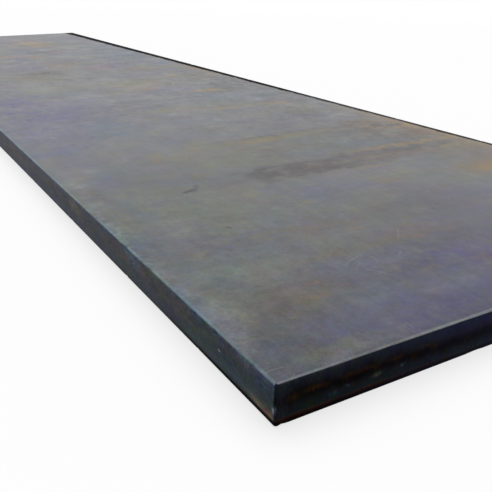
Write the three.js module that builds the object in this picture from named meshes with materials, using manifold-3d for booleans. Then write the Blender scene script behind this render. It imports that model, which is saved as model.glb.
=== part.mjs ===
// A heavy hot-rolled steel plate: one solid, with mill-rolled long sides and flame-cut ends.
//
// Millimetres, +Z up. The origin is the middle of the underside, and +Y runs along the plate.
// The mill leaves the same section all the way along, so the plate is that section extruded,
// then trimmed by the profile of its two end cuts and by the outline of its upright corners.
import * as THREE from "three";
import { mergeVertices } from "three/addons/utils/BufferGeometryUtils.js";
import Module from "manifold-3d";

// Stock size.
const plateLength = 6000;
const plateWidth = 1500;
const plateThickness = 80;

// Long sides, as they leave the rolls: the faces fall away before the side, and the side bulges.
const edgeRollOff = 12; // how far in from the side the face begins to fall
const edgeDrop = 5; // how far it has fallen where it meets the side
const sideBulge = 1.5; // how far the side stands out at mid-thickness

// Ends, cut square across: the flame rounds the upper rim and leaves a blunt foot.
const cutRimRadius = 3;
const cutFootRadius = 4;
const cornerRadius = 3; // the four upright corners

// Fineness of the round stretches, in facets to each arc.
const arcFacets = 6;

// Surface.
const scaleColour = 0x686a72;
const scaleRoughness = 0.5;
const scaleMetalness = 0.6;

const quarterTurn = Math.PI / 2;
const wasm = await Module();
wasm.setup();

// The rolled section, in X and Z: two flat faces, four elliptical roll-offs and two bulging sides.
function rolledSection() {
  const side = plateWidth / 2;
  const shoulder = side - sideBulge;
  const flatEnd = shoulder - edgeRollOff;
  const top = plateThickness;
  const middle = top / 2;

  const halfChord = middle - edgeDrop;
  const bulgeRadius = (halfChord ** 2 + sideBulge ** 2) / (2 * sideBulge);
  const bulgeCentre = side - bulgeRadius;
  const bulgeAngle = Math.asin(halfChord / bulgeRadius);

  return new THREE.Shape()
    .moveTo(-flatEnd, 0)
    .lineTo(flatEnd, 0)
    .absellipse(flatEnd, edgeDrop, edgeRollOff, edgeDrop, -quarterTurn, 0)
    .absarc(bulgeCentre, middle, bulgeRadius, -bulgeAngle, bulgeAngle)
    .absellipse(flatEnd, top - edgeDrop, edgeRollOff, edgeDrop, 0, quarterTurn)
    .lineTo(-flatEnd, top)
    .absellipse(-flatEnd, top - edgeDrop, edgeRollOff, edgeDrop, quarterTurn, 2 * quarterTurn)
    .absarc(-bulgeCentre, middle, bulgeRadius, Math.PI - bulgeAngle, Math.PI + bulgeAngle)
    .absellipse(-flatEnd, edgeDrop, edgeRollOff, edgeDrop, 2 * quarterTurn, 3 * quarterTurn);
}

// The end cuts seen from the side, in Y and Z.
function cutProfile() {
  const end = plateLength / 2;
  const foot = end - cutFootRadius;
  const rim = end - cutRimRadius;
  const rimHeight = plateThickness - cutRimRadius;

  return new THREE.Shape()
    .moveTo(-foot, 0)
    .lineTo(foot, 0)
    .absarc(foot, cutFootRadius, cutFootRadius, -quarterTurn, 0)
    .absarc(rim, rimHeight, cutRimRadius, 0, quarterTurn)
    .lineTo(-rim, plateThickness)
    .absarc(-rim, rimHeight, cutRimRadius, quarterTurn, 2 * quarterTurn)
    .absarc(-foot, cutFootRadius, cutFootRadius, 2 * quarterTurn, 3 * quarterTurn);
}

// The plate seen from above, in X and Y, with its upright corners rounded.
function planOutline() {
  const x = plateWidth / 2 - cornerRadius;
  const y = plateLength / 2 - cornerRadius;

  return new THREE.Shape()
    .absarc(x, -y, cornerRadius, -quarterTurn, 0)
    .absarc(x, y, cornerRadius, 0, quarterTurn)
    .absarc(-x, y, cornerRadius, quarterTurn, 2 * quarterTurn)
    .absarc(-x, -y, cornerRadius, 2 * quarterTurn, 3 * quarterTurn);
}

// How each profile's own x, y and extrusion direction lie in the plate.
const alongPlate = new THREE.Matrix4().makeBasis(
  new THREE.Vector3(1, 0, 0),
  new THREE.Vector3(0, 0, 1),
  new THREE.Vector3(0, -1, 0),
);
const acrossPlate = new THREE.Matrix4().makeBasis(
  new THREE.Vector3(0, 1, 0),
  new THREE.Vector3(0, 0, 1),
  new THREE.Vector3(1, 0, 0),
);
const throughPlate = new THREE.Matrix4().makeTranslation(0, 0, plateThickness / 2);

// Each extrusion runs this far past the plate on both sides, so that only the profiles trim it.
const overrun = 40;

// A profile extruded evenly to both sides of its own plane, then laid in the plate's frame.
function extrusion(profile, span, placing) {
  const depth = span + 2 * overrun;
  const geometry = new THREE.ExtrudeGeometry(profile, {
    depth,
    bevelEnabled: false,
    curveSegments: arcFacets / 2, // three.js lays twice this many on an arc
  });
  geometry.deleteAttribute("normal");
  geometry.deleteAttribute("uv");
  geometry.translate(0, 0, -depth / 2).applyMatrix4(placing);

  const merged = mergeVertices(geometry);
  return new wasm.Manifold(
    new wasm.Mesh({
      numProp: 3,
      vertProperties: merged.attributes.position.array,
      triVerts: new Uint32Array(merged.index.array),
    }),
  );
}

// A solid's surface as a flat-shaded geometry.
function surfaceOf(solid) {
  const { vertProperties, triVerts } = solid.getMesh();
  const shared = new THREE.BufferGeometry();
  shared.setAttribute("position", new THREE.BufferAttribute(vertProperties, 3));
  shared.setIndex(new THREE.BufferAttribute(triVerts, 1));
  const geometry = shared.toNonIndexed();
  geometry.computeVertexNormals();
  return geometry;
}

function steelPlate() {
  const rolledLength = extrusion(rolledSection(), plateLength, alongPlate);
  const endCuts = extrusion(cutProfile(), plateWidth, acrossPlate);
  const cornerCuts = extrusion(planOutline(), plateThickness, throughPlate);
  const solid = rolledLength.intersect(endCuts).intersect(cornerCuts);

  const millScale = new THREE.MeshStandardMaterial({
    color: scaleColour,
    roughness: scaleRoughness,
    metalness: scaleMetalness,
  });
  const mesh = new THREE.Mesh(surfaceOf(solid), millScale);
  mesh.name = "steel_plate";
  return mesh;
}

const part = new THREE.Group();
part.add(steelPlate());
export default part;
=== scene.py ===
"""A hot-rolled steel plate on a studio floor: its skin, its finishes, the light and the camera.

Sizes are in metres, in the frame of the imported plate: +Y runs along the plate, +X across it and +Z
up through its thickness, and the origin is the middle of its underside. Colours are written as they
look in daylight, from 0 to 255.
"""

import logging
import math
from dataclasses import dataclass
from enum import Enum
from typing import Union

import bpy
from mathutils import Matrix, Vector


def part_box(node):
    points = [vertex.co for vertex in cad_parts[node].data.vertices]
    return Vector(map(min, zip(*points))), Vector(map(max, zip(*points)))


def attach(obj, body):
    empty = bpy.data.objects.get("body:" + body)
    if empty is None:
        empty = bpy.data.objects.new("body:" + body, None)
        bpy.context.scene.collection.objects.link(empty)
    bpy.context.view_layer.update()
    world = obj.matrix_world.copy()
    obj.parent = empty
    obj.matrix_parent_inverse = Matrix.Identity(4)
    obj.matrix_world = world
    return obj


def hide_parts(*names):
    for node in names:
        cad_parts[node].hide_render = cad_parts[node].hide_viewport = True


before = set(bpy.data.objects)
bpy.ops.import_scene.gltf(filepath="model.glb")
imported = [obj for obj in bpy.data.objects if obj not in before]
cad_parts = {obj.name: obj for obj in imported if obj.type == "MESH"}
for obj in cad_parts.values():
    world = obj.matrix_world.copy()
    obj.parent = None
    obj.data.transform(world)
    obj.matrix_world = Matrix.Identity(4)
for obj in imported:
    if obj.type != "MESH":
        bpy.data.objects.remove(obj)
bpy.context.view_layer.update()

logging.basicConfig(level=logging.INFO, format="%(message)s")
log = logging.getLogger("plate")

NODE = "steel_plate"

# Where something starts and ends, and a number for each axis
Span = tuple[float, float]
Triple = tuple[float, float, float]

# What a node's input takes, and a colour ramp's paints with their places from 0 to 1
Term = Union["Signal", "Paint", "Tint", float, Triple]
Stops = tuple[tuple[float, "Paint"], ...]


# Colours
# --------


@dataclass(frozen=True)
class Paint:
    """A colour as it looks in daylight, from 0 to 255."""

    red: float
    green: float
    blue: float

    @property
    def linear(self) -> tuple[float, float, float]:
        """The same colour as the shaders take it."""
        return tuple(self._straight(part / 255) for part in (self.red, self.green, self.blue))

    @staticmethod
    def _straight(part: float) -> float:
        """Undoes the display curve on one part of a colour."""
        return part / 12.92 if part <= 0.04045 else ((part + 0.055) / 1.055) ** 2.4


class Tint(Enum):
    """The colours that patches of the surface take on."""

    VIOLET = Paint(67, 64, 108)
    SLATE = Paint(70, 86, 104)
    LICHEN = Paint(96, 104, 86)
    OLIVE = Paint(98, 92, 54)
    TAN = Paint(110, 88, 56)
    ROSE = Paint(112, 84, 82)
    OCHRE = Paint(142, 112, 24)
    UMBER = Paint(46, 39, 42)
    SOOT = Paint(30, 30, 36)
    PALE = Paint(130, 138, 142)
    RUST = Paint(54, 30, 10)
    EMBER = Paint(44, 8, 6)
    INK = Paint(4, 4, 6)


# Node trees as Python expressions
# --------


@dataclass(frozen=True)
class Pattern:
    """Smooth random values around one half."""

    scale: float  # blotches to the metre
    detail: float = 2.0  # octaves of finer noise
    rough: float = 0.5  # how much each finer octave counts
    shift: float = 0.0  # gives the same place another pattern
    squeeze: Triple | None = None  # how much finer it is along each axis


class Signal:
    """A node's output that takes part in Python arithmetic."""

    def __init__(self, sheet: "NodeSheet", socket: bpy.types.NodeSocket) -> None:
        """Keeps the output socket and the sheet that its node is on."""
        self.sheet = sheet
        self.socket = socket

    @property
    def is_vector(self) -> bool:
        """Whether the signal has three parts: a vector or a colour."""
        return self.socket.type in {"VECTOR", "RGBA"}

    def maths(self, operation: str, *others: Term) -> "Signal":
        """The outcome of a Math or a Vector Math node that starts from this signal."""
        return self.sheet.maths(operation, self, *others)

    def __add__(self, other: Term) -> "Signal":
        """The sum of two terms."""
        return self.maths("ADD", other)

    __radd__ = __add__

    def __sub__(self, other: Term) -> "Signal":
        """This signal less another term."""
        return self.maths("SUBTRACT", other)

    def __rsub__(self, other: Term) -> "Signal":
        """Another term less this signal."""
        return self.sheet.maths("SUBTRACT", other, self)

    def __mul__(self, other: Term) -> "Signal":
        """The product of two terms, part by part."""
        return self.maths("MULTIPLY", other)

    __rmul__ = __mul__

    def __truediv__(self, other: Term) -> "Signal":
        """This signal divided by another term."""
        return self.maths("DIVIDE", other)

    def __abs__(self) -> "Signal":
        """The signal without its sign."""
        return self.maths("ABSOLUTE")

    def dot(self, other: Term) -> "Signal":
        """The dot product with another vector."""
        sockets = {"Vector": self, "Vector_001": other}
        return self.sheet.add("ShaderNodeVectorMath", sockets, operation="DOT_PRODUCT")["Value"]

    def length(self) -> "Signal":
        """The length of a vector."""
        sockets = {"Vector": self}
        return self.sheet.add("ShaderNodeVectorMath", sockets, operation="LENGTH")["Value"]

    def split(self) -> tuple["Signal", "Signal", "Signal"]:
        """The three parts of a vector."""
        unit = self.sheet.add("ShaderNodeSeparateXYZ", {"Vector": self})
        return unit["X"], unit["Y"], unit["Z"]

    def join(self, y: Term, z: Term = 0.0) -> "Signal":
        """A vector with this signal as its X."""
        return self.sheet.add("ShaderNodeCombineXYZ", {"X": self, "Y": y, "Z": z})["Vector"]

    def clamp(self) -> "Signal":
        """The signal, held between 0 and 1."""
        return self.sheet.add("ShaderNodeClamp", {"Value": self})["Result"]

    def ease(self, start: Term, end: Term) -> "Signal":
        """A smooth climb from 0 to 1 between two limits, or a fall where start is the higher."""
        sockets = {"Value": self, "From Min": start, "From Max": end}
        unit = self.sheet.add("ShaderNodeMapRange", sockets, interpolation_type="SMOOTHSTEP")
        return unit["Result"]

    def bell(self) -> "Signal":
        """1 where a number or a vector is zero, falling smoothly towards 0 as it grows."""
        square = self.dot(self) if self.is_vector else self * self
        return self.sheet.maths("POWER", 1 / math.e, square)

    def noise(self, pattern: Pattern) -> "Unit":
        """A pattern's node, read at this place: a value under Fac, and three under Color."""
        place = self * pattern.squeeze if pattern.squeeze else self
        if pattern.shift:
            place = place + (pattern.shift, pattern.shift * 0.7, pattern.shift * 0.4)
        sockets = {
            "Vector": place,
            "Scale": pattern.scale,
            "Detail": pattern.detail,
            "Roughness": pattern.rough,
        }
        return self.sheet.add("ShaderNodeTexNoise", sockets)

    def blend(self, under: Term, over: Term) -> "Signal":
        """A colour that turns from one to another as this share goes from 0 to 1."""
        sockets = {"Factor_Float": self, "A_Color": under, "B_Color": over}
        return self.sheet.add("ShaderNodeMix", sockets, data_type="RGBA")["Result_Color"]

    def fade(self, under: Term, over: Term) -> "Signal":
        """A number that turns from one to another as this share goes from 0 to 1."""
        sockets = {"Factor_Float": self, "A_Float": under, "B_Float": over}
        return self.sheet.add("ShaderNodeMix", sockets, data_type="FLOAT")["Result_Float"]

    def ramp(self, stops: Stops) -> "Signal":
        """A colour that turns from paint to paint as this level goes from 0 to 1."""
        unit = self.sheet.add("ShaderNodeValToRGB", {"Fac": self.clamp()})
        elements = unit.node.color_ramp.elements
        while len(elements) < len(stops):
            elements.new(1.0)
        for element, (place, paint) in zip(elements, stops):
            element.position = place
            element.color = (*paint.linear, 1.0)
        return unit["Color"]


class Unit:
    """A placed node, whose outputs are read by identifier."""

    def __init__(self, sheet: "NodeSheet", node: bpy.types.Node) -> None:
        """Keeps the node and its sheet."""
        self.sheet = sheet
        self.node = node

    def __getitem__(self, identifier: str) -> Signal:
        """The output with that identifier."""
        found = next(s for s in self.node.outputs if s.identifier == identifier)
        return Signal(self.sheet, found)


class NodeSheet:
    """A node tree that Python expressions fill, for shading and for geometry alike."""

    def __init__(self, tree: bpy.types.NodeTree) -> None:
        """Starts on an empty tree."""
        self.tree = tree
        tree.nodes.clear()

    def add(self, kind: str, sockets: dict[str, Term] | None = None, **settings: object) -> Unit:
        """Adds one node.

        Args:
            kind: The node's type, such as ShaderNodeMath.
            sockets: A value or a signal for each input, by the input's identifier.
            **settings: The node's own options, set before its sockets.

        Returns:
            The placed node.
        """
        node = self.tree.nodes.new(kind)
        for name, value in settings.items():
            setattr(node, name, value)
        inputs = {socket.identifier: socket for socket in node.inputs}
        for name, term in (sockets or {}).items():
            self._feed(inputs[name], term)
        return Unit(self, node)

    def _feed(self, socket: bpy.types.NodeSocket, term: Term) -> None:
        """Links a signal to an input, or writes a plain value on it."""
        if isinstance(term, Tint):
            term = term.value
        if isinstance(term, Paint):
            term = term.linear
        if isinstance(term, Signal):
            self.tree.links.new(term.socket, socket)
        elif socket.type == "RGBA":
            socket.default_value = (*term, 1.0)
        elif socket.type == "VECTOR" and not isinstance(term, tuple):
            socket.default_value = (term, term, term)
        else:
            socket.default_value = term

    def maths(self, operation: str, *terms: Term) -> Signal:
        """A Math node, or a Vector Math node where a term has three parts.

        Args:
            operation: The operation's name, which both kinds of node share.
            *terms: One, two or three values or signals.

        Returns:
            The result.
        """
        parts = [isinstance(t, tuple) or (isinstance(t, Signal) and t.is_vector) for t in terms]
        kind, name = (
            ("ShaderNodeVectorMath", "Vector") if any(parts) else ("ShaderNodeMath", "Value")
        )
        names = (name, f"{name}_001", f"{name}_002")
        return self.add(kind, dict(zip(names, terms)), operation=operation)[name]


class ShapeSheet(NodeSheet):
    """A Geometry Nodes tree with named inputs, which can be run on an object."""

    KINDS = {float: "NodeSocketFloat", int: "NodeSocketInt", bpy.types.Material: "NodeSocketMaterial"}

    def __init__(self, name: str) -> None:
        """Starts an empty tree with that name."""
        super().__init__(bpy.data.node_groups.new(name, "GeometryNodeTree"))
        self.inlets = self.add("NodeGroupInput")
        self.values: dict[str, object] = {}
        self.tree.interface.new_socket("Geometry", in_out="OUTPUT", socket_type="NodeSocketGeometry")

    def inlet(self, name: str, value: float | int | bpy.types.Material) -> Signal:
        """Adds a named input of the tree.

        Args:
            name: The name that the modifier shows.
            value: What the input is set to when the tree is run.

        Returns:
            The input, inside the tree.
        """
        kind = next(kind for owner, kind in self.KINDS.items() if isinstance(value, owner))
        made = self.tree.interface.new_socket(name, in_out="INPUT", socket_type=kind)
        self.values[made.identifier] = value
        return self.inlets[made.identifier]

    def step(self, kind: str, shape: Signal, **sockets: Term) -> Signal:
        """Adds a Geometry Nodes node that takes a shape and passes it on changed."""
        return self.add(f"GeometryNode{kind}", {"Geometry": shape, **sockets})["Geometry"]

    def run(self, shape: Signal, name: str) -> bpy.types.Object:
        """Evaluates the tree once and keeps the result as a plain mesh.

        Args:
            shape: The finished geometry.
            name: The new object's name.

        Returns:
            An object at the origin with the evaluated mesh and no modifier.
        """
        outlet = self.add("NodeGroupOutput")
        self.tree.links.new(shape.socket, outlet.node.inputs[0])
        piece = bpy.data.objects.new(name, bpy.data.meshes.new(f"{name}_blank"))
        bpy.context.scene.collection.objects.link(piece)
        modifier = piece.modifiers.new(self.tree.name, "NODES")
        modifier.node_group = self.tree
        for identifier, value in self.values.items():
            modifier[identifier] = value
        graph = bpy.context.evaluated_depsgraph_get()
        mesh = bpy.data.meshes.new_from_object(piece.evaluated_get(graph), depsgraph=graph)
        piece.modifiers.clear()
        piece.data = mesh
        mesh.name = name
        return piece


# The plate's form, and what lies on it
# --------


@dataclass(frozen=True)
class Stain:
    """A patch of another colour: an ellipse with a soft, ragged edge.

    Its place and its reach are in the two directions of the face that it lies on.
    """

    across: float
    along: float
    wide: float
    long: float
    strength: float


class StainMap:
    """The stains of one face, by tint."""

    def __init__(self, rows: dict[Tint, tuple[tuple[float, ...], ...]]) -> None:
        """Reads the stains, each from a row with a Stain's fields in their order."""
        self.stains = {tint: [Stain(*row) for row in group] for tint, group in rows.items()}

    def over(self, colour: Signal, spot: Signal, mottle: Signal, where: Signal) -> Signal:
        """Lays the stains over a colour, tint by tint.

        Args:
            colour: The colour under them.
            spot: Each point's place on the face, in the stains' two directions.
            mottle: Three uneven patterns, each of which breaks up some of the tints.
            where: 1 on the face that has them, 0 elsewhere.

        Returns:
            The stained colour.
        """
        mottles = mottle.split()
        for index, tint in enumerate(Tint):
            if tint not in self.stains:
                continue
            cover: Term = 0.0
            for stain in self.stains[tint]:
                stretch = (1 / stain.wide, 1 / stain.long, 0.0)
                shift = (-stain.across / stain.wide, -stain.along / stain.long, 0.0)
                away = spot.maths("MULTIPLY_ADD", stretch, shift)
                cover = away.bell().maths("MULTIPLY_ADD", stain.strength, cover)
            uneven = mottles[index % 3].ease(0.3, 0.66) * 1.1 + 0.4
            colour = ((cover * uneven).clamp() * where).blend(colour, tint)
        return colour


@dataclass(frozen=True)
class Scratch:
    """A straight pale score on the top face."""

    start: tuple[float, float]
    end: tuple[float, float]
    width: float
    strength: float


@dataclass(frozen=True)
class Loop:
    """A drawn-out ring scored on the top face, faded out on its open side.

    The open side is an angle in degrees, from the way the ring is drawn out.
    """

    place: tuple[float, float]
    radius: float
    open_side: float
    strength: float


@dataclass(frozen=True)
class Nick:
    """A dent knocked into the upper rim."""

    place: tuple[float, float]
    reach: float
    depth: float


@dataclass(frozen=True)
class PlateForm:
    """The plate's sizes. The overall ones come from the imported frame."""

    length: float
    width: float
    thickness: float
    roll_off: float = 0.012
    edge_drop: float = 0.005
    side_bulge: float = 0.0015
    rim_radius: float = 0.003
    foot_radius: float = 0.004
    corner_radius: float = 0.003

    @classmethod
    def of_node(cls, node: str) -> "PlateForm":
        """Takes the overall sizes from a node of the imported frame."""
        low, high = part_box(node)
        width, length, thickness = high - low
        return cls(length=length, width=width, thickness=thickness)


# Finishes
# --------


@dataclass(frozen=True)
class Coat:
    """What a finish gives at each point of the skin."""

    colour: Signal
    roughness: Signal
    metallic: Signal
    height: Signal


class Place:
    """Where a point of the skin lies: its coordinates and its distances from the plate's edges."""

    CORNER_BLUR = 0.0015  # half the soft border between a side and an end
    RIM_DEPTH = 0.0027  # how far down a side the faces' scale reaches
    RIM_BLUR = 0.0015  # half the soft border below it
    CUT_TRIM = 0.0019  # how much less far the scale reaches down an end, at its corner at -X
    CUT_REGAIN = 0.0016  # how much of that it wins back farther across the end
    CUT_REGAIN_RATE = 2.2  # the share of it won back by each metre
    CUT_BLUR_TRIM = 0.001  # how much narrower half the border is on an end
    TOP_DEPTHS = (0.006, 0.003)  # between which the top face's own stains and scores fade in

    def __init__(self, point: Signal, form: PlateForm) -> None:
        """Works the distances out once, for all the finishes.

        Args:
            point: The point, in the plate's own coordinates.
            form: The plate's sizes.
        """
        self.point = point
        self.form = form
        self.x, self.y, self.z = point.split()
        self.from_side = form.width / 2 - abs(self.x)
        self.from_end = form.length / 2 - abs(self.y)
        self.from_face = (form.thickness - self.z).maths("MINIMUM", self.z)
        self.is_end = (self.from_side - self.from_end).ease(-self.CORNER_BLUR, self.CORNER_BLUR)
        regained = ((self.x + form.width / 2) * self.CUT_REGAIN_RATE).clamp() * self.CUT_REGAIN
        limit = self.RIM_DEPTH - self.is_end * (self.CUT_TRIM - regained)
        blur = self.RIM_BLUR - self.is_end * self.CUT_BLUR_TRIM
        self.is_flank = self.from_face.ease(limit - blur, limit + blur)
        self.is_top = self.z.ease(*(form.thickness - depth for depth in self.TOP_DEPTHS))


@dataclass(frozen=True)
class MillScale:
    """The two rolled faces: thin blue-grey oxide with stains, streaks, pits and scuffs, plus painted
    sheen, rim highlight and edge shade.
    """

    stains: StainMap
    scratches: tuple[Scratch, ...]
    loops: tuple[Loop, ...]
    far_run: Span = (-2.6, 1.6)  # along Y, as are the next two
    beyond_run: Span = (-2.8, -2.1)
    uneven_run: Span = (-2.4, -1.2)
    warp: Pattern = Pattern(9.0, 5.0, 0.72, 3.0)
    mottle: Pattern = Pattern(23.0, 4.0, 0.7)
    fleck: Pattern = Pattern(3.5, 9.0, 0.97, 33.0)
    drift: Pattern = Pattern(2.8, 6.0, 0.7, 1.0, (0.9, 1.1, 1.0))
    streaks: Pattern = Pattern(1.6, 8.0, 0.85, 9.0, (0.8, 1.3, 1.0))
    lines: Pattern = Pattern(1.6, 6.0, 0.8, 19.0, (0.8, 24.0, 1.0))
    files: Pattern = Pattern(1.6, 5.0, 0.8, 29.0, (40.0, 0.8, 1.0))
    margin: Pattern = Pattern(7.0, 5.0, 0.7, 23.0)
    swirl: Pattern = Pattern(13.0, 1.5, shift=31.0)
    curl: Pattern = Pattern(24.0, 1.0, shift=45.0)
    sparse: Pattern = Pattern(2.6, shift=37.0)
    ground: Paint = Paint(90, 91, 96)
    # Rim colours: rubbed scale, partly a painted highlight
    side_rim_wear_and_highlight: Paint = Paint(106, 128, 135)
    cut_rim_wear_and_highlight: Paint = Paint(122, 128, 130)
    warm_axis: Triple = (1.4, 0.25, -1.6)
    moss_axis: Triple = (-0.75, 0.95, -0.55)
    # Painted shade: a dark line along the side at +X, with its width, spread and sway
    burnt: Paint = Paint(20, 18, 21)
    burnt_width: float = 0.052
    burnt_spread: float = 0.011
    burnt_sway: float = 0.05
    stain_sway: Triple = (0.14, 0.06, 0.0)
    score_sway: float = 0.05
    hair_width: float = 0.009
    hair_strength: float = 0.2
    loop_turn: float = 50.0
    loop_stretch: float = 2.5
    loop_line: float = 0.0022
    pits_to_the_metre: float = 7.0
    pit_radius: float = 0.035
    pit_darkness: float = 0.75
    pit_depth: float = 0.0005
    grain_depth: float = 0.0001
    roughness: float = 0.35
    metallic: float = 0.5

    def lay(self, place: Place) -> Coat:
        """Builds the finish's coat, for each point by its place."""
        far = place.y.ease(*self.far_run)
        warp = place.point.noise(self.warp)
        colour, streak = self._clouds(place.point, far)
        ragged = place.point + (warp["Color"] - 0.5) * self.stain_sway
        mottle = place.point.noise(self.mottle)["Color"]
        colour = self.stains.over(colour, ragged, mottle, place.is_top)
        colour = self._edges(place, colour, far)
        scored = self._scores(place)
        colour = scored.blend(colour, Tint.PALE)
        pitted = self._pits(place)
        colour = (pitted * self.pit_darkness).blend(colour, Tint.SOOT)
        fleck = place.point.noise(self.fleck)
        speck = fleck["Fac"] - 0.5
        _, warmth, moss = fleck["Color"].split()
        beyond = place.y.ease(*self.beyond_run)
        tinted = (warmth - 0.5) * (0.7 + beyond * 0.35 + far * 0.6) * self.warm_axis
        tinted = tinted + (moss - 0.5) * self.moss_axis
        # Farther along the plate the colour is painted lighter, a painted sheen; the specks and tints
        # vary it at random.
        colour = colour * (0.85 + far * 0.28 + speck * (3.0 + beyond * 0.8 + far * 0.3) + tinted)
        sway = warp["Fac"] - 0.5
        # Painted shade: the dark line along the side at +X, also dull and fully metallic
        burnt = self._edge_shade_share(place, sway)
        colour = burnt.blend(colour, self.burnt)
        uneven = 0.5 + place.y.ease(*self.uneven_run) * 0.5
        dull = self.roughness + sway * 0.16 + speck * uneven + pitted * 0.2
        dull = dull + (streak * 0.36 - 0.12) * far
        roughness = burnt.fade(dull, 1.0)
        metallic = burnt.fade((1 - pitted) * self.metallic, 1.0)
        height = (fleck["Fac"] - scored) * self.grain_depth - pitted * self.pit_depth
        return Coat(colour, roughness, metallic, height)

    def _clouds(self, point: Signal, far: Signal) -> tuple[Signal, Signal]:
        """The oxide's own colours.

        Args:
            point: Each point's place.
            far: How far along the plate each point is, which strengthens the streaks.

        Returns:
            The colour, and the pattern of the streaks that run across the plate.
        """
        drift = point.noise(self.drift)
        cool, green, warm = drift["Color"].split()
        colour = (cool.ease(0.48, 0.64) * 0.5).blend(self.ground, Tint.VIOLET)
        mossy = green.ease(0.48, 0.64) * (0.35 - far * 0.2)
        colour = mossy.blend(colour, Tint.LICHEN)
        bands = point.noise(self.streaks)
        brown, blue, _ = bands["Color"].split()
        brown = (brown + (warm - 0.5) * 0.6).ease(0.5, 0.66) * 0.6
        colour = brown.blend(colour, Tint.OLIVE)
        colour = (blue.ease(0.5, 0.64) * 0.25).blend(colour, Tint.SLATE)
        lines = point.noise(self.lines)["Fac"]
        files = point.noise(self.files)["Fac"]
        streak = bands["Fac"]
        level = 1 + (streak - 0.5) * (1.5 + far * 1.2) + (lines - 0.5) * 0.6
        level = level + (files - 0.5) * (0.9 - far * 0.8)
        return colour * level, streak

    def _edges(self, place: Place, colour: Signal, far: Signal) -> Signal:
        """The bluer margin beside each side, and the paler rims: rubbed by handling, and partly a
        painted highlight.
        """
        drift = place.point.noise(self.margin)["Fac"]
        band = place.from_side.ease(0.03 + drift * 0.08, 0.012)
        colour = (band * 0.3).blend(colour, Tint.SLATE)
        cut = place.from_end.ease(0.008, 0.004) * (0.3 + drift * 0.8)
        colour = cut.blend(colour, self.cut_rim_wear_and_highlight)
        rim = place.from_side.ease(0.0115, 0.0065) * (drift * 3.4 - 0.95 - far * 0.5)
        return rim.clamp().blend(colour, self.side_rim_wear_and_highlight)

    def _edge_shade_share(self, place: Place, sway: Signal) -> Signal:
        """How much painted shade each point has: the dark line along the side at +X, wider the farther
        on.
        """
        width = self.burnt_width + place.y * self.burnt_spread
        burnt = ((place.from_side + sway * self.burnt_sway) / width).ease(1.1, 0.86)
        return burnt * place.x.ease(0.0, 0.1) * (0.7 + place.y.ease(-1.3, -0.6) * 0.3)

    def _scores(self, place: Place) -> Signal:
        """The drawn scratches, and hairlines too fine to draw one by one."""
        swirl = place.point.noise(self.swirl)
        curl = place.point.noise(self.curl)["Fac"]
        sparse = place.point.noise(self.sparse)["Fac"]
        hair = abs(swirl["Fac"] - 0.5).ease(self.hair_width, self.hair_width / 3)
        total = hair * sparse.ease(0.5, 0.66) * self.hair_strength
        shaken = place.point + (swirl["Color"] - 0.5) * self.score_sway
        broken = (0.4 + curl.ease(0.4, 0.55) * 0.6) * place.is_top
        turn = math.radians(self.loop_turn)
        lengthwise = (math.cos(turn) / self.loop_stretch, math.sin(turn) / self.loop_stretch, 0.0)
        crosswise = (-math.sin(turn), math.cos(turn), 0.0)
        for loop in self.loops:
            off = shaken - (*loop.place, 0.0)
            u = off.dot(lengthwise)
            v = off.dot(crosswise)
            gap = abs(u.join(v).length() - loop.radius)
            angle = math.radians(loop.open_side)
            opened = u * math.cos(angle) + v * math.sin(angle)
            drawn = opened.ease(loop.radius * 0.3, loop.radius * -0.7) * loop.strength
            total = total + gap.ease(self.loop_line, self.loop_line * 0.2) * drawn * broken
        for scratch in self.scratches:
            run = tuple(b - a for a, b in zip(scratch.start, scratch.end))
            square = sum(part * part for part in run)
            along = (*(part / square for part in run), 0.0)
            off = (shaken - (*scratch.start, 0.0)) * (1.0, 1.0, 0.0)
            share = off.dot(along).clamp()
            gap = (off - share * (*run, 0.0)).length()
            line = gap.ease(scratch.width, scratch.width * 0.2) * scratch.strength
            total = total + line * place.is_top
        return total.clamp()

    def _pits(self, place: Place) -> Signal:
        """Small dark pits, few and of all sizes, where the scale has come away."""
        sockets = {"Vector": place.point, "Scale": self.pits_to_the_metre}
        cells = place.point.sheet.add("ShaderNodeTexVoronoi", sockets)
        size, _, _ = cells["Color"].split()
        inland = place.from_side.maths("MINIMUM", place.from_end).ease(0.02, 0.04)
        radius = size.maths("POWER", 5.0) * self.pit_radius * inland
        return cells["Distance"].ease(radius, radius * 0.4)


@dataclass(frozen=True)
class Flank:
    """What the rolled sides and the flame-cut ends have in common."""

    bands: Stops
    stains: StainMap
    border_sway: float
    belt_sway: float
    stain_sway: float
    weave: Pattern
    grain: Pattern
    grain_depth: float = 0.00015
    weave_depth: float = 0.0003

    def _banded(self, place: Place, sway: Signal) -> Signal:
        """The colour of the band that each point is in, from the foot up, with wavy borders."""
        return ((place.z + sway * self.border_sway) * (1 / place.form.thickness)).ramp(self.bands)

    def _relief(self, weave: Unit, grain: Unit) -> Signal:
        """The height of a coarse pattern and a fine one together."""
        return grain["Fac"] * self.grain_depth + weave["Fac"] * self.weave_depth


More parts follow.
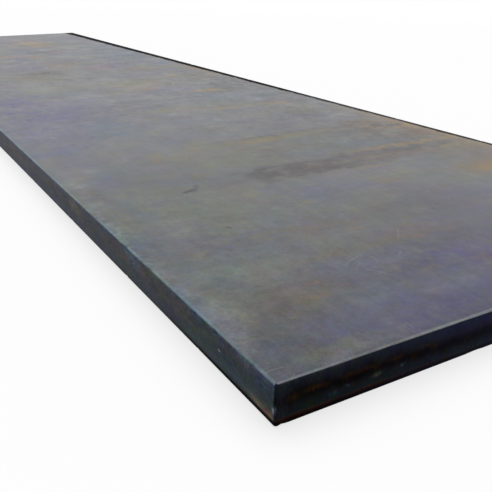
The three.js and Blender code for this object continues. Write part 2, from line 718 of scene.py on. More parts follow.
@dataclass(frozen=True)
class RolledSide(Flank):
    """A rolled side: mottled blue-grey scale with a brown belt, and a dark foot of painted contact
    shadow.
    """

    border_sway: float = 0.04
    belt_sway: float = 0.05
    stain_sway: float = 0.006
    weave: Pattern = Pattern(13.0, 8.0, 0.9, 61.0, (1.0, 0.8, 2.0))
    grain: Pattern = Pattern(110.0, 4.0, 0.9, 72.0, (1.0, 0.6, 1.6))
    belt: Paint = Paint(52, 46, 38)
    bloom: Paint = Paint(48, 40, 68)
    belt_height: float = 0.052
    belt_reach: float = 0.018
    belt_run: Span = (0.22, 0.34)
    far_run: Span = (0.5, 1.4)
    foot_height: float = 0.0115
    foot_length: float = 0.5
    roughness: float = 0.64
    metallic: float = 0.95

    def lay(self, place: Place) -> Coat:
        """Builds the finish's coat, for each point by its place."""
        weave = place.point.noise(self.weave)
        sway = (weave["Fac"] - 0.5) * place.z.ease(0.008, 0.03)
        colour = self._banded(place, sway)
        stripe, bluish, _ = weave["Color"].split()
        belt = ((place.z + sway * self.belt_sway - self.belt_height) * (1 / self.belt_reach)).bell()
        begun = place.from_end.ease(*self.belt_run)
        brown = belt * begun * stripe.ease(0.4, 0.58) * 0.8
        colour = brown.blend(colour, self.belt)
        far = place.from_end.ease(*self.far_run)
        violet = bluish.ease(0.42, 0.58) * (0.06 + far * 0.7)
        colour = (violet * (1 - belt * 0.6)).blend(colour, self.bloom)
        spot = place.y.join(place.z) + sway * self.stain_sway
        near_side = place.x.ease(0.0, -0.1)
        grain = place.point.noise(self.grain)
        colour = self.stains.over(colour, spot, grain["Color"], near_side)
        mottle = (weave["Color"] - 0.5) * 3.6 + (grain["Color"] - 0.5) * 3.0
        # Farther from the end the side is painted lighter, a painted sheen; the mottle varies it at
        # random.
        colour = colour * (0.84 + far * 0.18 + mottle + (weave["Fac"] - 0.5) * 2.0)
        # Painted contact shadow: black along the foot, over a stretch from each end, also dull and
        # fully metallic
        black = place.z.ease(self.foot_height * 1.25, self.foot_height * 0.8)
        black = black * place.from_end.ease(self.foot_length, self.foot_length * 0.2)
        colour = black.blend(colour, Tint.INK)
        roughness = black.fade(self.roughness + (grain["Fac"] - 0.5) * 0.3, 1.0)
        metallic = black.fade((1 - brown * 0.3) * self.metallic, 1.0)
        return Coat(colour, roughness, metallic, self._relief(weave, grain))


@dataclass(frozen=True)
class FlameCut(Flank):
    """A flame-cut end: a blue-grey upper zone, a torn dark belt with rust whose near-black is partly
    painted shade in the groove, and a grey foot over painted contact shadow.
    """

    border_sway: float = 0.02
    belt_sway: float = 0.05
    stain_sway: float = 0.012
    weave: Pattern = Pattern(24.0, 7.0, 0.7, 83.0, (1.6, 1.0, 1.0))
    grain: Pattern = Pattern(90.0, 4.0, 0.9, 94.0, (3.0, 1.0, 1.0))
    # Near-black of the belt: dark cut scale, partly painted shade in the groove
    groove: Paint = Paint(3, 2, 4)
    haze: Paint = Paint(30, 34, 64)
    belt_height: float = 0.046
    belt_fall: float = 0.010
    belt_reach: float = 0.012
    roughness: float = 0.85
    metallic: float = 1.0

    def lay(self, place: Place) -> Coat:
        """Builds the finish's coat, for each point by its place."""
        weave = place.point.noise(self.weave)
        sway = (weave["Fac"] - 0.5) * place.z.ease(0.01, 0.03)
        colour = self._banded(place, sway)
        rising = 0.3 + place.z.ease(0.048, 0.07) * 0.5
        colour = (place.x.ease(-0.7, -0.25) * rising).blend(colour, self.haze)
        rag, speck, _ = weave["Color"].split()
        height = self.belt_height - place.x.ease(-0.55, -0.3) * self.belt_fall
        belt = ((place.z - height + (rag - 0.5) * self.belt_sway) * (1 / self.belt_reach)).bell()
        belt = belt * place.from_side.ease(0.008, 0.035)
        # The belt's darkness eases off across the end towards +X
        belt_strength = 0.9 - place.x.ease(-0.45, -0.2) * 0.3
        colour = (belt * belt_strength).blend(colour, self.groove)
        rusty = speck.ease(0.5, 0.66) * belt
        colour = (rusty * 0.3).blend(colour, Tint.RUST)
        spot = place.x.join(place.z) + sway * self.stain_sway
        near_end = place.y.ease(0.0, -0.1)
        drag = place.point.noise(self.grain)
        colour = self.stains.over(colour, spot, drag["Color"], near_end)
        mottle = (weave["Color"] - 0.5) * 1.6 + (drag["Color"] - 0.5) * 3.2
        colour = colour * (1 + mottle + (drag["Fac"] - 0.5) * 1.2)
        roughness = self.roughness + (drag["Fac"] - 0.5) * 0.2
        return Coat(colour, roughness, self.metallic, self._relief(weave, drag))


@dataclass(frozen=True)
class PlateFinish:
    """The plate's one material: scaled faces, rolled sides and flame-cut ends."""

    faces: MillScale
    sides: RolledSide
    ends: FlameCut

    def make(self, form: PlateForm) -> bpy.types.Material:
        """Makes the material.

        Args:
            form: The plate's sizes, which say where the faces turn into the flanks.

        Returns:
            A material that reads Object coordinates.
        """
        material = bpy.data.materials.new("rolled_plate_finish")
        material.use_nodes = True
        sheet = NodeSheet(material.node_tree)
        place = Place(sheet.add("ShaderNodeTexCoord")["Object"], form)
        flank = self._between(place.is_end, self.sides.lay(place), self.ends.lay(place))
        coat = self._between(place.is_flank, self.faces.lay(place), flank)
        bump = sheet.add("ShaderNodeBump", {"Distance": 1.0, "Height": coat.height})
        sockets = {
            "Base Color": coat.colour,
            "Roughness": coat.roughness,
            "Metallic": coat.metallic,
            "Normal": bump["Normal"],
        }
        steel = sheet.add("ShaderNodeBsdfPrincipled", sockets)["BSDF"]
        sheet.add("ShaderNodeOutputMaterial", {"Surface": steel})
        return material

    @staticmethod
    def _between(share: Signal, under: Coat, over: Coat) -> Coat:
        """A coat that turns from one to another as the share goes from 0 to 1."""
        return Coat(
            share.blend(under.colour, over.colour),
            share.fade(under.roughness, over.roughness),
            share.fade(under.metallic, over.metallic),
            share.fade(under.height, over.height),
        )


# The plate's skin
# --------


@dataclass(frozen=True)
class PlateSkin:
    """The plate as it is seen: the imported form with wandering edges, cut marks and dents."""

    OVERRUN = 18 / 16  # of the eighteen layers out from the middle, the last two lie on the face
    RIM_CROWDING = 0.85  # how far the layers are drawn towards the rims, from 0 to 1
    CORNER_CROWDING = 0.93  # how far the columns and rows are drawn towards the corners

    form: PlateForm
    finish: PlateFinish
    nicks: tuple[Nick, ...]
    columns: int = 200
    rows: int = 700
    layers: int = 37
    margin: float = 0.05
    side_wander: float = 0.0009
    cut_wander: float = 0.0008
    hammer_depth: float = 0.0006
    groove_depth: float = 0.0014
    groove_height: float = 0.048
    groove_reach: float = 0.007
    tear_depth: float = 0.0003
    foot_tear_depth: float = 0.0005
    chip_depth: float = 0.0018
    groove_sway: float = 0.012
    calm_foot: Span = (0.004, 0.014)  # heights between which the relief of the flanks fades in
    rim_depths: Span = (0.008, 0.003)  # depths below a face between which the chips do
    rim_reach: Span = (0.018, 0.01)  # distances from the plate's edge between which they do
    nick_depths: Span = (0.02, 0.01)  # depths below the top face between which the nicks do
    chip_share: Span = (0.62, 0.8)  # levels of the chips' pattern between which they deepen
    side_sway: Pattern = Pattern(3.0, 4.0, 0.6)
    cut_sway: Pattern = Pattern(6.0, 5.0, 0.65)
    hammer: Pattern = Pattern(1.0, 3.0, 0.6, 41.0, (1.0, 9.0, 30.0))
    stray: Pattern = Pattern(7.0, 3.0, 0.6, 43.0)
    torn: Pattern = Pattern(1.0, 4.0, 0.6, 47.0, (45.0, 1.0, 30.0))
    chip: Pattern = Pattern(26.0, shift=53.0)
    weld_distance: float = 0.00002
    seed: float = 4.0

    def build(self) -> bpy.types.Object:
        """Grows the skin by Geometry Nodes and dresses it.

        Returns:
            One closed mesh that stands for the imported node.
        """
        sheet = ShapeSheet("rolled_plate")
        material = sheet.inlet("Finish", self.finish.make(self.form))
        shape = self._closed(sheet, self._open_wall(sheet))
        shape = sheet.step("SetShadeSmooth", self._worn(sheet, shape))
        shape = sheet.step("RealizeInstances", shape)
        shape = sheet.step("SetMaterial", shape, Material=material)
        piece = sheet.run(shape, "rolled_plate")
        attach(piece, "root")
        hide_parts(NODE)
        return piece

    def _open_wall(self, sheet: ShapeSheet) -> Signal:
        """The ring round the plate: both flanks, the rims, and a margin of each face."""
        sockets = {
            "Size": 2.0,
            "Vertices X": sheet.inlet("Columns", self.columns),
            "Vertices Y": sheet.inlet("Rows", self.rows),
            "Vertices Z": sheet.inlet("Layers", self.layers),
        }
        cube = sheet.add("GeometryNodeMeshCube", sockets)["Mesh"]
        _, _, lie = sheet.add("GeometryNodeInputNormal")["Normal"].split()
        sockets = {"Geometry": cube, "Selection": abs(lie).maths("GREATER_THAN", 0.5)}
        wall = sheet.add("GeometryNodeDeleteGeometry", sockets, domain="FACE")["Geometry"]
        return sheet.step("SetPosition", wall, Position=self._place_on_plate(sheet))

    def _place_on_plate(self, sheet: ShapeSheet) -> Signal:
        """Where each point of the cube's wall goes on the plate."""
        length, width, thickness, roll_off, drop, bulge, rim, foot, corner = (
            sheet.inlet(name.replace("_", " ").title(), size)
            for name, size in vars(self.form).items()
        )
        margin = sheet.inlet("Margin", self.margin)
        seed = sheet.inlet("Seed", self.seed)

        across, along, up = sheet.add("GeometryNodeInputPosition")["Position"].split()
        climb = abs(up) * self.OVERRUN
        half = self._graded(climb.maths("MINIMUM", 1.0), self.RIM_CROWDING) * up.maths("SIGN")
        z = thickness * 0.5 * (1 + half)
        skirt = (climb - 1.0).maths("MAXIMUM", 0.0) * (margin / (self.OVERRUN - 1.0))

        above, below = thickness - z, z
        middle = thickness * 0.5
        belly = (abs(z - middle) / (middle - drop)).clamp()
        side_in = (
            self._fall(above, roll_off, drop)
            + self._fall(below, roll_off, drop)
            + bulge * belly * belly
            + skirt
        )
        end_in = self._fall(above, rim, rim) + self._fall(below, foot, foot) + skirt

        across = self._graded(across, self.CORNER_CROWDING)
        along = self._graded(along, self.CORNER_CROWDING)
        side = across.maths("SIGN")
        end = along.maths("SIGN")
        side_sway = side.join(along * (length * 0.5), seed).noise(self.side_sway)
        end_sway = (across * (width * 0.5)).join(end, seed).noise(self.cut_sway)
        rise = z / thickness
        side_in = side_in + side_sway["Fac"] * rise * sheet.inlet("Side Wander", self.side_wander)
        end_in = end_in + end_sway["Fac"] * rise * sheet.inlet("Cut Wander", self.cut_wander)

        half_sizes = (width * 0.5 - side_in).join(length * 0.5 - end_in)
        bent = self._rounded(abs(across.join(along)), half_sizes, corner)
        return bent * side.join(end) + z * (0.0, 0.0, 1.0)

    @staticmethod
    def _graded(share: Signal, strength: float) -> Signal:
        """Draws evenly spaced points towards the ends of their run, -1 and 1."""
        return share * (1 + (1 - abs(share)) * strength)

    @staticmethod
    def _fall(depth: Signal, run: Signal, drop: Signal) -> Signal:
        """How far a rounded rim has drawn back at some depth below its face."""
        rest = (1 - depth / drop).clamp()
        return run * (1 - (1 - rest * rest).clamp().maths("SQRT"))

    @staticmethod
    def _rounded(share: Signal, half_sizes: Signal, radius: Signal) -> Signal:
        """Bends a quarter of a rectangle round at its corner.

        Args:
            share: How far across and along the quarter the point is, each from 0 to 1.
            half_sizes: The quarter's width and length.
            radius: The corner's radius.

        Returns:
            The point's place in the quarter.
        """
        square = share * half_sizes
        past = square - (half_sizes - radius * (1.0, 1.0, 0.0))
        over = past.maths("MAXIMUM", 0.0)
        over_x, over_y, _ = over.split()
        pull = over_x.maths("MAXIMUM", over_y) / (over.length() + 1e-9)
        return square - over * (1 - pull)

    def _closed(self, sheet: ShapeSheet, wall: Signal) -> Signal:
        """Fills the ring with the flat middle of each face and welds it shut."""
        count = sheet.add("GeometryNodeInputMeshEdgeNeighbors")["Face Count"]
        _, _, z = sheet.add("GeometryNodeInputPosition")["Position"].split()
        is_border = count.maths("LESS_THAN", 1.5)
        lids = []
        for side in ("GREATER_THAN", "LESS_THAN"):
            rim = is_border * z.maths(side, self.form.thickness / 2)
            loop = sheet.add("GeometryNodeMeshToCurve", {"Mesh": wall, "Selection": rim})["Curve"]
            lids.append(sheet.add("GeometryNodeFillCurve", {"Curve": loop})["Mesh"])
        upper = sheet.step("SetPosition", lids[0], Offset=(0.0, 0.0, self.form.thickness))
        lower = sheet.add("GeometryNodeFlipFaces", {"Mesh": lids[1]})["Mesh"]
        joined = sheet.add("GeometryNodeJoinGeometry")
        for part in (lower, upper, wall):
            sheet.tree.links.new(part.socket, joined.node.inputs[0])
        return sheet.step("MergeByDistance", joined["Geometry"], Distance=self.weld_distance)

    def _worn(self, sheet: ShapeSheet, shape: Signal) -> Signal:
        """Presses the cut's groove, the hammered sides and the nicked rims into the shape."""
        place = Place(sheet.add("GeometryNodeInputPosition")["Position"], self.form)
        normal = sheet.add("GeometryNodeInputNormal")["Normal"]
        depth_in = sheet.inlet("Groove Depth", self.groove_depth)
        height_in = sheet.inlet("Groove Height", self.groove_height)

        hammer = place.point.noise(self.hammer)["Fac"]
        sides = hammer * (1 - place.is_end) * self.hammer_depth
        stray = place.point.noise(self.stray)["Fac"]
        off = (place.z - height_in + (stray - 0.5) * self.groove_sway) / self.groove_reach
        groove = off.bell() * depth_in * (0.3 + stray * 1.2)
        torn = place.point.noise(self.torn)["Fac"]
        lower = place.z.ease(height_in, height_in - 0.008)
        ends = (groove + torn * (self.tear_depth + lower * self.foot_tear_depth)) * place.is_end
        depth = (sides + ends) * place.is_flank * place.z.ease(*self.calm_foot)

        near_edge = place.from_side.maths("MINIMUM", place.from_end)
        rim = place.from_face.ease(*self.rim_depths) * near_edge.ease(*self.rim_reach)
        chip = place.point.noise(self.chip)["Fac"].ease(*self.chip_share)
        knocks = chip * self.chip_depth
        upper = place.z.ease(*(self.form.thickness - depth for depth in self.nick_depths))
        for nick in self.nicks:
            away = (place.point - (*nick.place, 0.0)) * (1 / nick.reach, 1 / nick.reach, 0.0)
            knocks = knocks + away.bell() * upper * nick.depth
        return sheet.step("SetPosition", shape, Offset=normal * ((depth + knocks * rim) * -1.0))


# The studio and the camera
# --------


@dataclass(frozen=True)
class Studio:
    """A pale floor under soft, even light, with a white surround."""

    floor_radius: float = 60.0
    floor_steps: int = 96
    floor_gap: float = 0.0002
    floor_tone: float = 0.92
    sky_level: float = 0.66
    key_strength: float = 1.4
    key_softness: float = 50.0
    key_from: Triple = (1.2, 1.6, 3.4)
    shadow_share: float = 0.3
    clear_from: float = 3.6
    clear_to: float = 8.0
    clear_shape: Triple = (1.0, 0.6, 0.0)

    def build(self) -> None:
        """Lays the floor, hangs the key light and lights the surround."""
        self._lay_floor()
        self._hang_key()
        self._light_sky()

    @staticmethod
    def _is_seen(sheet: NodeSheet) -> Signal:
        """1 for a ray that shows the surround: from the camera, a gloss or a glass."""
        path = sheet.add("ShaderNodeLightPath")
        shown = path["Is Camera Ray"].maths("MAXIMUM", path["Is Glossy Ray"])
        return shown.maths("MAXIMUM", path["Is Transmission Ray"])

    def _lay_floor(self) -> None:
        """A round floor that shows white and keeps a soft share of the plate's shadow."""
        turns = (2 * math.pi * step / self.floor_steps for step in range(self.floor_steps))
        rim = [(math.cos(t), math.sin(t)) for t in turns]
        points = [(x * self.floor_radius, y * self.floor_radius, -self.floor_gap) for x, y in rim]
        mesh = bpy.data.meshes.new("studio_floor")
        mesh.from_pydata(points, [], [tuple(range(self.floor_steps))])
        floor = bpy.data.objects.new("studio_floor", mesh)
        bpy.context.scene.collection.objects.link(floor)

        material = bpy.data.materials.new("studio_floor")
        material.use_nodes = True
        sheet = NodeSheet(material.node_tree)
        point = sheet.add("ShaderNodeTexCoord")["Object"]
        distance = (point * self.clear_shape).length()
        clear = distance.ease(self.clear_from, self.clear_to)
        white = clear.fade(1.0 - self.shadow_share, 1.0) * self._is_seen(sheet)
        matt = sheet.add("ShaderNodeBsdfDiffuse", {"Color": (self.floor_tone,) * 3})["BSDF"]
        bright = sheet.add("ShaderNodeEmission", {"Color": (1.0, 1.0, 1.0), "Strength": 1.0})
        sockets = {"Fac": white, "Shader": matt, "Shader_001": bright["Emission"]}
        shown = sheet.add("ShaderNodeMixShader", sockets)["Shader"]
        sheet.add("ShaderNodeOutputMaterial", {"Surface": shown})
        mesh.materials.append(material)

    def _hang_key(self) -> None:
        """One broad, even light from above and behind the plate."""
        light = bpy.data.lights.new("key", "SUN")
        light.energy = self.key_strength
        light.angle = math.radians(self.key_softness)
        lamp = bpy.data.objects.new("key", light)
        lamp.visible_glossy = False
        lamp.rotation_euler = Vector(self.key_from).to_track_quat("Z", "Y").to_euler()
        bpy.context.scene.collection.objects.link(lamp)

    def _light_sky(self) -> None:
        """A white surround that lights the plate more gently than it shows."""
        world = bpy.data.worlds.new("surround")
        world.use_nodes = True
        sheet = NodeSheet(world.node_tree)
        strength = self._is_seen(sheet).fade(self.sky_level, 1.0)
        sockets = {"Color": (1.0, 1.0, 1.0), "Strength": strength}
        glow = sheet.add("ShaderNodeBackground", sockets)["Background"]
        sheet.add("ShaderNodeOutputWorld", {"Surface": glow})
        bpy.context.scene.world = world


@dataclass(frozen=True)
class Viewpoint:
    """A hand-held camera, close to one corner of the plate and looking along it.

    Its angles are in degrees: turned from +Y towards +X, lowered from level, and tipped sideways.
    """

    place: Triple = (-1.2170, -3.7168, 0.6701)
    turned: float = 30.241
    lowered: float = 22.746
    tipped: float = -0.068
    lens: float = 48.734
    sensor_width: float = 36.0

    def build(self) -> None:
        """Makes the scene's camera."""
        data = bpy.data.cameras.new("camera")
        data.lens = self.lens
        data.sensor_width = self.sensor_width
        camera = bpy.data.objects.new("camera", data)
        camera.matrix_world = (
            Matrix.Translation(self.place)
            @ Matrix.Rotation(math.radians(-self.turned), 4, "Z")
            @ Matrix.Rotation(math.radians(90.0 - self.lowered), 4, "X")
            @ Matrix.Rotation(math.radians(self.tipped), 4, "Z")
        )
        bpy.context.scene.collection.objects.link(camera)
        bpy.context.scene.camera = camera


# This plate
# --------

# Each stain is a row: its middle across and along, its reach both ways, and its strength. Across
# and along are X and Y on a face, Y and Z on a side, and X and Z on an end.
FACE_STAINS = {
    Tint.VIOLET: (
        (-0.3, -2.94, 0.2, 0.09, 0.38), (-0.39, -2.97, 0.12, 0.03, 0.25),
        (-0.2, -2.82, 0.34, 0.16, 0.3), (0.02, -2.66, 0.32, 0.18, 0.3), (-0.61, -1.86, 0.07, 0.07, 0.6),
        (-0.65, -1.45, 0.07, 0.04, 0.7), (-0.58, -1.2, 0.14, 0.2, 0.45), (-0.6, -0.62, 0.16, 0.4, 0.65),
        (-0.36, -0.75, 0.28, 0.4, 0.45), (0.4, -1.36, 0.2, 0.12, 0.35), (0.2, -2.47, 0.18, 0.07, 0.3),
        (-0.1, -0.27, 0.06, 0.06, 0.5), (-0.25, 0.75, 0.12, 0.15, 0.5), (-0.2, -2.75, 0.09, 0.06, 0.35),
        (-0.56, -2.935, 0.06, 0.025, 0.4), (-0.5, 0.08, 0.09, 0.2, 0.5), (-0.65, -1.6, 0.05, 0.08, 0.4),
        (-0.63, -2.14, 0.09, 0.07, 0.2), (-0.13, -2.61, 0.07, 0.04, 0.25),
        (-0.685, -1.99, 0.03, 0.1, 0.2), (-0.1, -2.81, 0.1, 0.04, 0.2),
    ),
    Tint.SLATE: (
        (-0.69, -2.4, 0.035, 0.2, 0.4), (-0.25, -2.14, 0.06, 0.04, 0.2),
        (-0.66, -2.62, 0.05, 0.07, 0.3), (-0.69, -2.9, 0.06, 0.07, 0.6), (-0.54, -2.9, 0.1, 0.04, 0.4),
        (-0.1, -2.27, 0.12, 0.05, 0.3), (-0.64, -2.15, 0.04, 0.22, 0.4),
        (-0.58, -1.62, 0.1, 0.22, 0.35), (-0.5, -1.95, 0.12, 0.14, 0.4), (0.08, -1.87, 0.12, 0.05, 0.7),
        (0.32, -1.89, 0.1, 0.04, 0.5), (-0.4, -1.24, 0.13, 0.17, 0.7), (0.42, -0.79, 0.2, 0.15, 0.7),
        (0.62, -0.6, 0.06, 0.3, 0.7), (0.48, -0.44, 0.12, 0.07, 0.6), (0.55, 1.2, 0.16, 0.7, 0.7),
        (0.12, 1.67, 0.05, 0.06, 0.5),
    ),
    Tint.LICHEN: (
        (-0.44, -2.24, 0.15, 0.17, 0.45), (-0.6, -2.955, 0.08, 0.02, 0.7),
        (-0.35, -2.58, 0.24, 0.07, 0.35), (-0.2, -1.86, 0.18, 0.1, 0.6), (0.1, -1.74, 0.26, 0.08, 0.4),
        (0.04, -0.18, 0.26, 0.24, 0.3), (-0.37, -0.15, 0.13, 0.22, 0.3),
    ),
    Tint.OLIVE: (
        (-0.55, -2.76, 0.12, 0.06, 0.3), (-0.4, -2.2, 0.16, 0.16, 0.12),
        (-0.69, -2.73, 0.04, 0.09, 0.25), (-0.33, -2.48, 0.22, 0.04, 0.35),
        (-0.25, -2.64, 0.3, 0.018, 0.4), (0.02, -1.66, 0.26, 0.03, 0.6), (-0.7, -2.68, 0.03, 0.07, 0.3),
        (0.1, -0.2, 0.26, 0.14, 0.5), (-0.3, 0.2, 0.2, 0.3, 0.4), (-0.57, -2.82, 0.06, 0.03, 0.25),
        (-0.735, -2.95, 0.014, 0.03, 0.3), (-0.7, -2.79, 0.03, 0.07, 0.3),
        (0.2, -1.64, 0.26, 0.03, 0.6),
    ),
    Tint.TAN: (
        (-0.54, -2.6, 0.06, 0.1, 0.3), (0.49, -2.31, 0.1, 0.09, 0.9), (0.66, -1.95, 0.1, 0.4, 0.8),
        (0.58, -1.62, 0.14, 0.05, 0.4), (0.34, -2.04, 0.3, 0.035, 0.6), (-0.02, 0.7, 0.09, 0.18, 0.5),
        (-0.05, 1.25, 0.05, 0.13, 0.7), (0.17, 2.13, 0.1, 0.28, 0.8), (-0.02, -2.035, 0.08, 0.012, 0.8),
        (0.6, -1.72, 0.14, 0.2, 0.3),
    ),
    Tint.OCHRE: (
        (0.48, -1.963, 0.2, 0.017, 0.9), (0.3, -1.95, 0.04, 0.012, 0.4),
        (0.19, -2.14, 0.07, 0.012, 0.4), (0.56, -2.06, 0.02, 0.03, 0.4),
        (-0.36, -1.96, 0.02, 0.035, 0.35), (-0.22, -2.317, 0.028, 0.012, 0.25),
        (-0.33, -2.546, 0.022, 0.007, 0.4), (-0.21, -2.546, 0.022, 0.005, 0.35),
        (-0.06, -2.543, 0.02, 0.005, 0.25), (-0.525, -2.787, 0.05, 0.014, 0.15),
        (-0.375, -1.7, 0.02, 0.05, 0.4), (0.04, -1.66, 0.09, 0.016, 0.3),
        (0.55, -1.677, 0.03, 0.015, 0.5), (0.625, -1.743, 0.05, 0.018, 0.8),
        (0.41, -0.59, 0.05, 0.035, 0.6), (0.21, -1.057, 0.05, 0.03, 0.4),
        (0.42, -0.01, 0.04, 0.05, 0.5), (0.53, -0.24, 0.03, 0.02, 0.4),
        (-0.487, -2.735, 0.014, 0.008, 0.2), (0.0, -1.62, 0.1, 0.02, 0.2),
        (0.3, -1.64, 0.1, 0.012, 0.2), (0.5, -2.33, 0.08, 0.05, 0.3), (0.704, -1.75, 0.018, 0.45, 0.8),
        (0.56, -1.975, 0.12, 0.01, 0.6), (0.64, -2.07, 0.08, 0.03, 0.4),
        (0.645, -1.71, 0.04, 0.035, 0.8), (0.684, 0.1, 0.012, 0.9, 0.5), (0.34, -0.585, 0.1, 0.03, 0.5),
        (0.49, -1.075, 0.06, 0.03, 0.5), (0.0, -2.022, 0.05, 0.018, 0.3),
        (0.15, -2.038, 0.1, 0.01, 0.3), (0.56, -2.13, 0.1, 0.04, 0.3), (0.56, -1.7, 0.05, 0.03, 0.3),
        (0.12, -1.668, 0.14, 0.016, 0.2), (0.57, -1.995, 0.08, 0.022, 0.4),
        (0.62, -1.71, 0.05, 0.04, 0.6), (0.55, -2.05, 0.07, 0.03, 0.3), (0.73, -2.15, 0.02, 0.1, 0.4),
        (0.34, -1.05, 0.12, 0.02, 0.35), (-0.22, 1.33, 0.12, 0.04, 0.5), (0.1, 2.18, 0.2, 0.1, 0.3),
    ),
    Tint.ROSE: (
        (0.51, -1.057, 0.06, 0.04, 0.8), (0.18, 0.5, 0.07, 0.05, 0.5), (0.13, -0.4, 0.04, 0.04, 0.7),
        (0.17, 0.53, 0.1, 0.08, 0.6), (0.16, 1.45, 0.05, 0.12, 0.6), (-0.13, -2.657, 0.02, 0.008, 0.5),
        (-0.04, -2.657, 0.02, 0.008, 0.5), (0.32, -2.08, 0.22, 0.02, 0.5),
        (-0.13, -2.61, 0.07, 0.04, 0.35), (-0.298, -2.893, 0.02, 0.014, 0.3),
        (-0.428, -2.78, 0.018, 0.03, 0.25), (-0.475, -2.784, 0.02, 0.015, 0.15),
        (-0.229, -2.796, 0.025, 0.008, 0.35), (-0.123, -2.809, 0.025, 0.008, 0.35),
        (0.48, -2.05, 0.18, 0.022, 0.35),
    ),
    Tint.UMBER: (
        (0.0, -1.99, 0.22, 0.018, 0.6), (-0.18, -2.02, 0.05, 0.024, 0.6),
        (0.05, -2.068, 0.26, 0.015, 0.7), (0.22, -1.975, 0.08, 0.02, 0.4),
        (-0.12, -2.055, 0.08, 0.018, 0.5), (0.42, -2.02, 0.18, 0.03, 0.6),
        (0.08, -2.04, 0.3, 0.05, 0.22), (0.58, -2.035, 0.1, 0.05, 0.2), (0.14, -1.07, 0.3, 0.11, 0.1),
        (0.5, -0.46, 0.1, 0.08, 0.1), (-0.13, -2.61, 0.07, 0.04, 0.15), (0.63, -2.16, 0.06, 0.06, 0.2),
        (0.62, -1.69, 0.06, 0.05, 0.6), (-0.645, -2.685, 0.03, 0.03, 0.25),
        (-0.685, -1.99, 0.03, 0.1, 0.35), (-0.1, -2.81, 0.1, 0.04, 0.2),
        (-0.37, -1.97, 0.05, 0.05, 0.2), (-0.25, -2.14, 0.06, 0.04, 0.15),
        (-0.61, -2.79, 0.07, 0.05, 0.22), (0.56, -1.915, 0.022, 0.018, 0.3),
        (0.665, -1.69, 0.03, 0.025, 0.35), (0.1, -1.615, 0.26, 0.008, 0.6),
        (0.1, -1.82, 0.45, 0.18, 0.3), (0.6, -1.92, 0.14, 0.34, 0.3), (-0.5, -1.98, 0.12, 0.12, 0.15),
        (0.02, -2.5, 0.22, 0.12, 0.22), (-0.28, -2.9, 0.2, 0.1, 0.2), (0.25, 0.8, 0.4, 0.9, 0.15),
        (0.55, -0.35, 0.18, 0.4, 0.45), (-0.08, -2.7, 0.14, 0.06, 0.35), (0.45, -1.3, 0.18, 0.65, 0.3),
        (0.3, -2.1, 0.14, 0.02, 0.35), (0.03, -2.1, 0.15, 0.016, 0.9), (-0.17, -2.1, 0.06, 0.03, 0.35),
        (0.1, -1.5, 0.6, 0.6, 0.12), (-0.14, 0.28, 0.2, 0.18, 0.2), (-0.04, -2.025, 0.19, 0.045, 0.5),
    ),
    # The soot stains at x 0.7 and more lie along the side at +X and widen the painted shade line there;
    # the others are dark marks.
    Tint.SOOT: (
        (-0.16, 0.43, 0.14, 0.05, 0.9), (0.04, 1.49, 0.11, 0.07, 0.8), (0.705, 0.28, 0.02, 0.25, 0.6),
        (0.71, -0.55, 0.014, 0.3, 0.4), (0.72, -2.02, 0.015, 0.06, 0.4),
        (-0.44, -2.07, 0.008, 0.012, 2.0), (-0.424, -2.058, 0.01, 0.006, 1.3),
        (-0.418, -2.038, 0.009, 0.012, 1.1), (-0.486, -2.376, 0.007, 0.007, 0.9),
        (-0.44, -2.658, 0.008, 0.004, 0.6), (0.046, -2.533, 0.008, 0.008, 0.7),
    ),
    # The pale stains at x -0.7 and less, along the rim at -X, are painted highlight; the others are
    # scuffs.
    Tint.PALE: (
        (-0.64, -1.73, 0.02, 0.02, 0.3), (-0.49, -1.67, 0.02, 0.03, 0.25),
        (-0.035, -1.066, 0.018, 0.02, 0.5), (-0.71, -1.84, 0.03, 0.05, 0.4),
        (-0.68, -2.74, 0.035, 0.05, 0.3), (-0.738, -2.42, 0.014, 0.3, 0.5),
        (-0.25, -2.875, 0.09, 0.035, 0.2), (-0.74, -2.2, 0.012, 0.15, 0.4),
        (-0.72, -2.77, 0.03, 0.1, 0.4), (-0.732, -2.87, 0.03, 0.05, 0.5),
        (-0.58, -2.985, 0.07, 0.012, 0.35), (-0.56, -2.62, 0.1, 0.08, 0.22),
        (-0.38, -0.08, 0.1, 0.16, 0.15), (0.11, 1.68, 0.03, 0.04, 0.6),
    ),
}

SCRATCHES = (
    Scratch((-0.378, -2.694), (-0.326, -2.680), 0.0022, 0.30),
    Scratch((-0.330, -2.680), (-0.308, -2.678), 0.0018, 0.20),
    Scratch((-0.344, -2.736), (-0.325, -2.790), 0.0030, 0.28),
    Scratch((-0.180, -2.642), (-0.134, -2.592), 0.0024, 0.24),
    Scratch((-0.460, -2.950), (-0.455, -2.985), 0.0018, 0.20),
    Scratch((-0.741, -2.955), (-0.708, -2.962), 0.0020, 0.40),
    Scratch((-0.722, -2.992), (-0.700, -2.988), 0.0016, 0.45),
    Scratch((-0.560, -2.060), (-0.470, -2.120), 0.0016, 0.20),
)

LOOPS = (
    Loop((-0.368, -2.656), 0.0138, -60.0, 0.20),
    Loop((-0.356, -2.722), 0.0069, 230.0, 0.30),
    Loop((-0.321, -2.718), 0.0120, 135.0, 0.24),
    Loop((-0.240, -2.704), 0.0060, 110.0, 0.26),
    Loop((-0.457, -2.969), 0.0080, 180.0, 0.24),
)

NICKS = (
    Nick((-0.750, -2.36), 0.012, 0.0018),
    Nick((-0.750, -2.50), 0.014, 0.0012),
    Nick((-0.750, -2.80), 0.010, 0.0008),
    Nick((-0.345, -3.00), 0.014, 0.0007),
    Nick((-0.520, -3.00), 0.008, 0.0005),
)

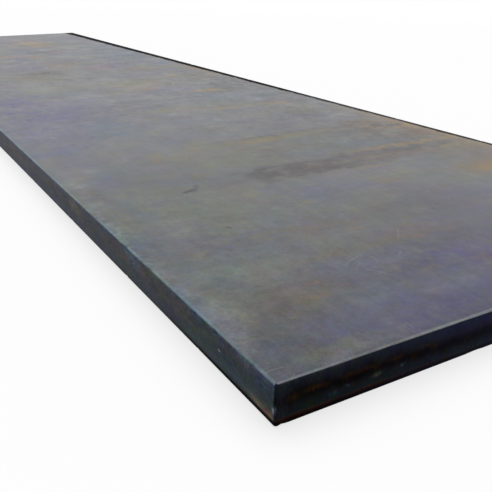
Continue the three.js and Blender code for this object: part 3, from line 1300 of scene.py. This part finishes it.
SIDE_STAINS = {
    Tint.OLIVE: ((-2.952, 0.021, 0.038, 0.0075, 0.5), (-1.97, 0.054, 0.05, 0.014, 0.3)),
    Tint.OCHRE: ((-2.978, 0.016, 0.018, 0.005, 0.16),),
    Tint.LICHEN: ((-2.95, 0.018, 0.018, 0.006, 0.4),),
    Tint.TAN: ((-2.986, 0.016, 0.01, 0.006, 0.45),),
    Tint.PALE: ((-2.82, 0.047, 0.005, 0.002, 0.8), (-2.9985, 0.032, 0.004, 0.005, 1.0)),
    Tint.SLATE: ((-2.42, 0.06, 0.035, 0.012, 0.5), (-2.38, 0.07, 0.03, 0.006, 0.5)),
    Tint.UMBER: ((-2.62, 0.05, 0.08, 0.01, 0.4),),
}

END_STAINS = {
    Tint.RUST: (
        (-0.712, 0.045, 0.012, 0.006, 0.45), (-0.688, 0.047, 0.008, 0.004, 0.35),
        (-0.669, 0.049, 0.014, 0.005, 0.7), (-0.647, 0.046, 0.008, 0.004, 0.35),
        (-0.598, 0.051, 0.01, 0.004, 0.3), (-0.57, 0.05, 0.016, 0.004, 0.45),
        (-0.545, 0.046, 0.008, 0.004, 0.35), (-0.5, 0.049, 0.016, 0.005, 0.45),
        (-0.43, 0.052, 0.012, 0.005, 0.3), (-0.408, 0.046, 0.008, 0.004, 0.25),
        (-0.68, 0.014, 0.03, 0.0015, 0.5), (-0.56, 0.0135, 0.02, 0.0015, 0.6),
    ),
    Tint.EMBER: (
        (-0.7, 0.0105, 0.06, 0.002, 0.9), (-0.56, 0.0115, 0.06, 0.002, 0.6),
        (-0.42, 0.011, 0.06, 0.002, 0.35),
    ),
    Tint.SLATE: (
        (-0.634, 0.024, 0.012, 0.005, 0.16), (-0.604, 0.031, 0.005, 0.002, 0.3),
        (-0.484, 0.031, 0.004, 0.003, 0.35), (-0.7485, 0.032, 0.003, 0.006, 1.0),
        (-0.735, 0.04, 0.01, 0.03, 0.06),
    ),
    Tint.LICHEN: ((-0.541, 0.031, 0.008, 0.004, 0.35),),
}

# The side's colours from the foot up. The near-black at the foot is painted contact shadow; the
# darkening towards the foot and the lighter top are partly painted shade and highlight, and the side is
# painted darker than the faces partly as painted shade, partly as dark scale.
SIDE_BANDS = (
    (0.00, Paint(5, 5, 8)),
    (0.08, Paint(24, 30, 38)),
    (0.17, Paint(31, 43, 52)),
    (0.28, Paint(37, 50, 62)),
    (0.50, Paint(31, 43, 52)),
    (0.70, Paint(36, 46, 57)),
    (0.90, Paint(52, 60, 71)),
    (1.00, Paint(66, 77, 88)),
)

# The end's colours from the foot up. The black at the foot is painted contact shadow and the reddish
# line above it rust; the dark cut is partly dark oxide, partly painted shade, and the lighter top line
# is partly a painted highlight.
END_BANDS = (
    (0.00, Paint(4, 0, 0)),
    (0.10, Paint(6, 1, 1)),
    (0.125, Paint(28, 18, 14)),
    (0.165, Paint(36, 34, 33)),
    (0.21, Paint(22, 29, 30)),
    (0.42, Paint(18, 22, 24)),
    (0.54, Paint(15, 13, 15)),
    (0.66, Paint(18, 16, 20)),
    (0.76, Paint(24, 26, 32)),
    (0.90, Paint(28, 34, 41)),
    (0.96, Paint(38, 41, 47)),
    (1.00, Paint(62, 64, 70)),
)


def main() -> None:
    """Builds the camera, the studio and the plate, and logs the plate's number of faces."""
    bpy.context.scene.view_settings.view_transform = "Standard"
    form = PlateForm.of_node(NODE)
    Viewpoint().build()
    Studio().build()
    finish = PlateFinish(
        faces=MillScale(StainMap(FACE_STAINS), SCRATCHES, LOOPS),
        sides=RolledSide(SIDE_BANDS, StainMap(SIDE_STAINS)),
        ends=FlameCut(END_BANDS, StainMap(END_STAINS)),
    )
    plate = PlateSkin(form, finish, NICKS).build()
    log.info("%s: %d faces", plate.name, len(plate.data.polygons))


if __name__ == "__main__":
    main()
